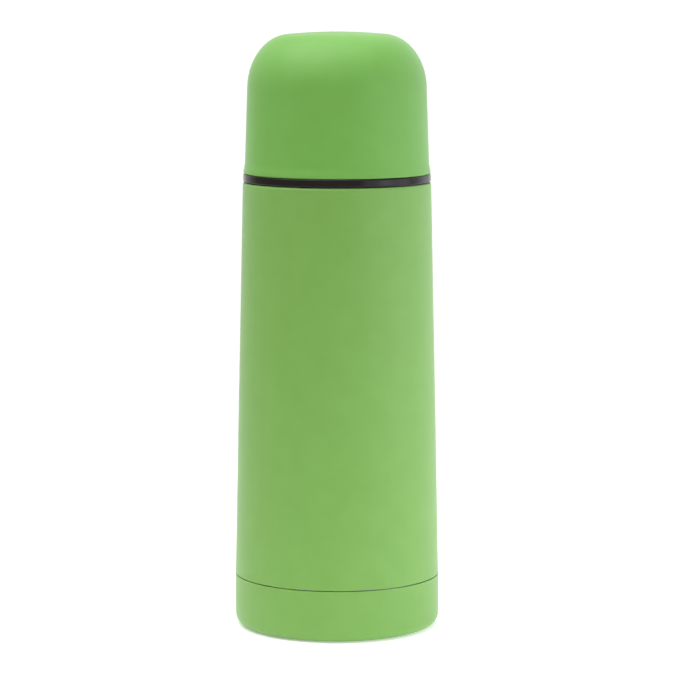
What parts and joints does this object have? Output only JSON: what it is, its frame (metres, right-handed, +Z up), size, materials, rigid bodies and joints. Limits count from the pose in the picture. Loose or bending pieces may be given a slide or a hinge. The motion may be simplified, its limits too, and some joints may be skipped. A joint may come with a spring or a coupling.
{
  "type": "vacuum flask",
  "caption": "Upright double-walled steel vacuum flask with a tapered body, a domed screw-on drinking cup and a push-button pouring stopper.",
  "frame": {"origin": "centre of the foot, on the surface that the flask stands on", "axes": "+Z up the flask's axis; -Y is the side of the stopper's pouring slot; the squeeze tabs lie along X"},
  "size_m": [0.0688, 0.0688, 0.2],
  "materials": {
    "painted_green": "soft-touch matte",
    "stainless_steel": "drawn and polished",
    "spring_steel": "drawn wire",
    "foil": "bright foil",
    "getter_metal": "sintered",
    "black_plastic": "fine moulded grain",
    "grey_plastic": "fine moulded grain",
    "silicone": "translucent silicone",
    "insulation": "closed-cell foam"
  },
  "bodies": {
    "flask": {"base_cover": "painted_green", "outer_shell": "painted_green", "inner_liner": "stainless_steel", "liner_bottom": "stainless_steel", "reflective_foil": "foil", "middle_bottom": "stainless_steel", "vacuum_plug": "stainless_steel", "getter": "getter_metal", "getter_clip": "stainless_steel", "neck_collar": "black_plastic"},
    "stopper_seal": {"stopper_gasket": "silicone"},
    "stopper": {"stopper_body": "black_plastic", "stopper_foam": "insulation", "stopper_cap": "black_plastic", "stem_guide": "grey_plastic", "button_spring": "spring_steel", "tab_spring_left": "spring_steel", "tab_spring_right": "spring_steel"},
    "button": {"push_button": "grey_plastic", "button_o_ring": "silicone", "valve_stem": "grey_plastic", "valve_plate": "grey_plastic", "valve_seal": "silicone"},
    "left_tab": {"release_tab_left": "grey_plastic"},
    "right_tab": {"release_tab_right": "grey_plastic"},
    "cup_seal": {"cup_seal_ring": "silicone"},
    "cup": {"cup_liner": "black_plastic", "cup_shell": "painted_green"}
  },
  "joints": [
    {"name": "stopper_lift", "type": "slide", "parent": "flask", "child": "stopper_seal", "axis": [0, 0, 1], "range_m": [0, 0.032]},
    {"name": "stopper_turn", "type": "hinge", "parent": "stopper_seal", "child": "stopper", "pos_m": [0, 0, 0.16], "axis": [0, 0, 1], "range_deg": [0, 1440]},
    {"name": "button_press", "type": "slide", "parent": "stopper", "child": "button", "axis": [0, 0, -1], "range_m": [0, 0.004], "stiffness_N_per_m": 800, "springref_m": -0.002, "deforming": ["button_spring"]},
    {"name": "left_tab_squeeze", "type": "slide", "parent": "stopper", "child": "left_tab", "axis": [1, 0, 0], "range_m": [0, 0.0012], "stiffness_N_per_m": 500, "springref_m": -0.001, "deforming": ["tab_spring_left"]},
    {"name": "right_tab_squeeze", "type": "slide", "parent": "stopper", "child": "right_tab", "axis": [-1, 0, 0], "range_m": [0, 0.0012], "stiffness_N_per_m": 500, "springref_m": -0.001, "deforming": ["tab_spring_right"]},
    {"name": "cup_lift", "type": "slide", "parent": "stopper", "child": "cup_seal", "axis": [0, 0, 1], "range_m": [0, 0.048]},
    {"name": "cup_turn", "type": "hinge", "parent": "cup_seal", "child": "cup", "pos_m": [0, 0, 0.175], "axis": [0, 0, 1], "range_deg": [0, 2160]}
  ],
  "couplings": [
    {"joint": "stopper_turn", "follows": "stopper_lift", "rad_per_m": 785.4},
    {"joint": "cup_turn", "follows": "cup_lift", "rad_per_m": 785.4}
  ]
}
